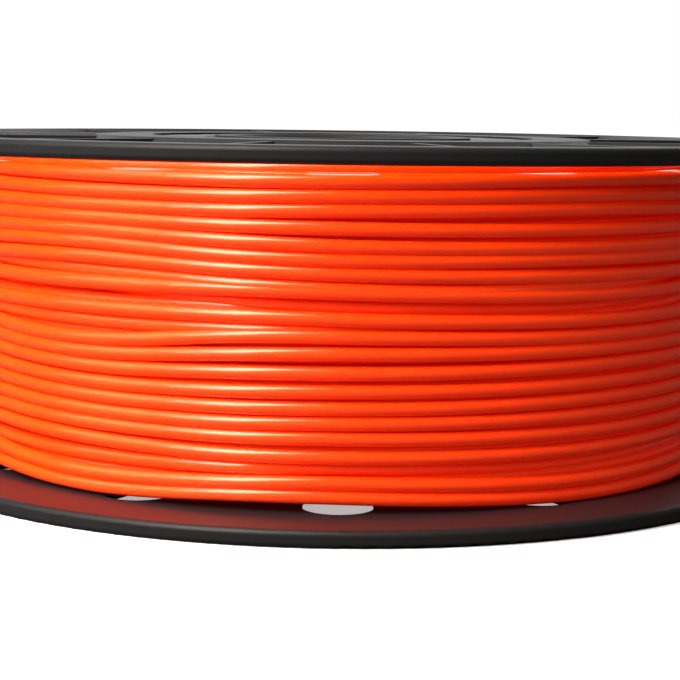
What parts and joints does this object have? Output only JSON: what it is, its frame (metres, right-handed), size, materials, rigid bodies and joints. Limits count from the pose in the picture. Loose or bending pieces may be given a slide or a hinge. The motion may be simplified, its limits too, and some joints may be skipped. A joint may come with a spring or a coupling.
{
  "type": "filament spool",
  "caption": "Refillable spool of glossy orange-red thick printer filament between two windowed flanges; a ring nut in the dish screws the keyed cover flange onto the hollow post.",
  "frame": {"origin": "on the bore axis, in the plane of the base flange's outer face, which the spool lies on", "axes": "+Z along the bore axis from the base flange to the cover flange; -Y is the side of the winding seen in the main view"},
  "size_m": [0.2, 0.2, 0.073],
  "materials": {
    "flange_plastic": "injection-moulded black plastic with a fine spark-eroded grain",
    "barrel_plastic": "injection-moulded black plastic, satin where the mould was polished",
    "core_cardboard": "spirally wound brown cardboard",
    "filament": "smooth extruded orange-red PLA, opaque and glossy",
    "nut_plastic": "injection-moulded dark grey plastic"
  },
  "bodies": {
    "base": {"base_flange": "flange_plastic", "barrel": "barrel_plastic", "core_tube": "core_cardboard", "filament_core": "filament", "filament_outer_layer": "filament"},
    "cover": {"cover_flange": "flange_plastic"},
    "nut": {"lock_nut": "nut_plastic"}
  },
  "joints": [
    {"name": "cover_lift", "type": "slide", "parent": "base", "child": "cover", "axis": [0, 0, 1], "range_m": [0, 0.012]},
    {"name": "nut_turn", "type": "hinge", "parent": "cover", "child": "nut", "pos_m": [0, 0, 0.066], "axis": [0, 0, 1], "range_deg": [0, 360]}
  ],
  "couplings": [
    {"joint": "cover_lift", "follows": "nut_turn", "m_per_rad": 0.0019099}
  ]
}
